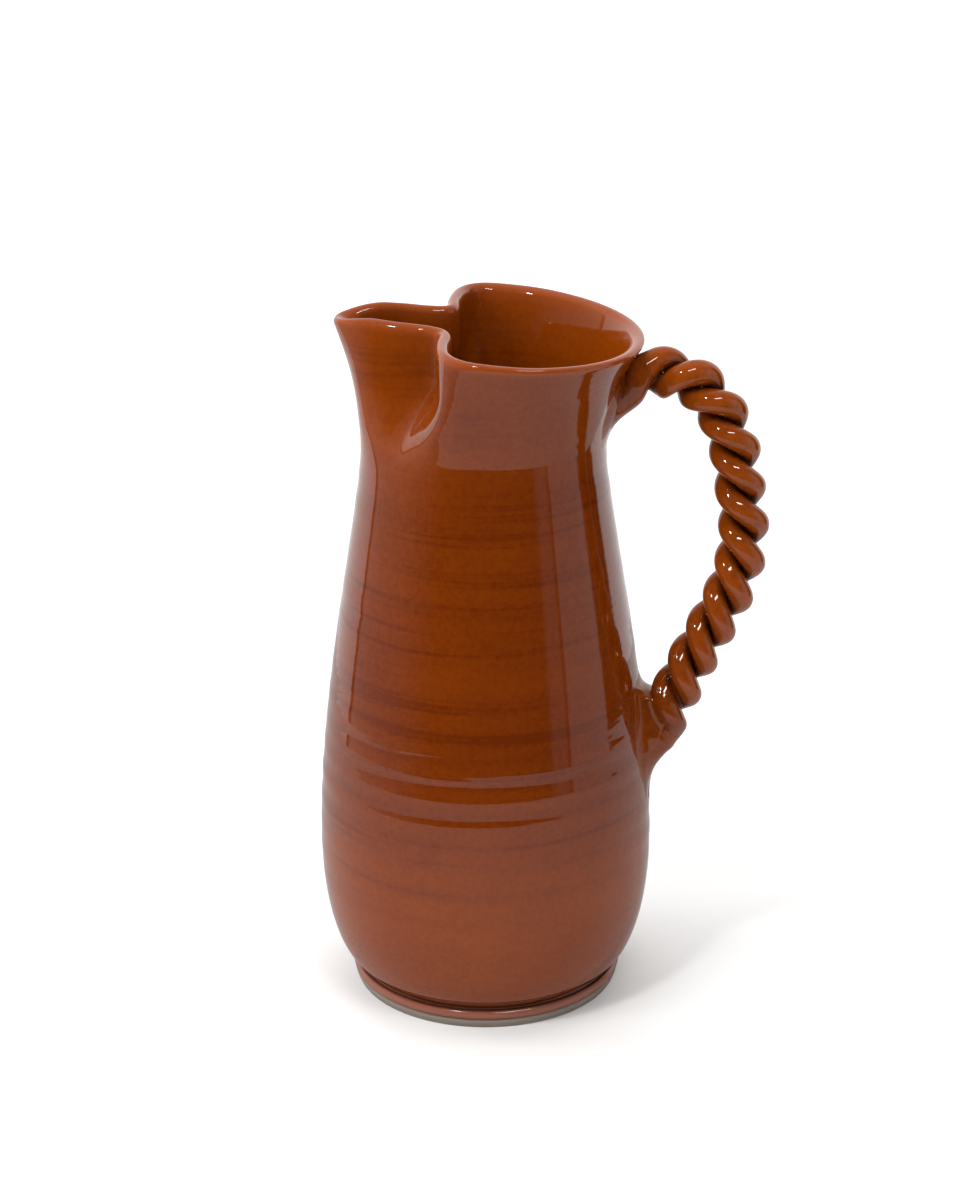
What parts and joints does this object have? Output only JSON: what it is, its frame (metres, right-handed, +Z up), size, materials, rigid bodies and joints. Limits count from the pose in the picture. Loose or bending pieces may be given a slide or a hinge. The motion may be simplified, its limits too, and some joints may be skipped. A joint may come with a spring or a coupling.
{
  "type": "ceramic pitcher",
  "caption": "Tall glazed clay pitcher with a pinched pouring spout, a swelling belly on a beaded foot and a twisted rope handle.",
  "frame": {"origin": "centre of the bounding box in X and Y, on the surface that the pitcher stands on", "axes": "+Z up along the body's axis, +X towards the handle, -X towards the spout"},
  "size_m": [0.1922, 0.1442, 0.3011],
  "materials": {
    "body_glaze": "glossy caramel-brown lead-type glaze over terracotta, darker where it pools in the throwing rings",
    "foot_glaze": "glossy glaze, thin and reddish over the bead, dark in the groove",
    "handle_glaze": "very glossy brown glaze, reddish on the strands' ridges and dark between them"
  },
  "bodies": {
    "root": {"body": "body_glaze", "foot_ring": "foot_glaze", "handle_strand_a": "handle_glaze", "handle_strand_b": "handle_glaze", "upper_root": "handle_glaze", "lower_root": "handle_glaze"}
  },
  "joints": []
}
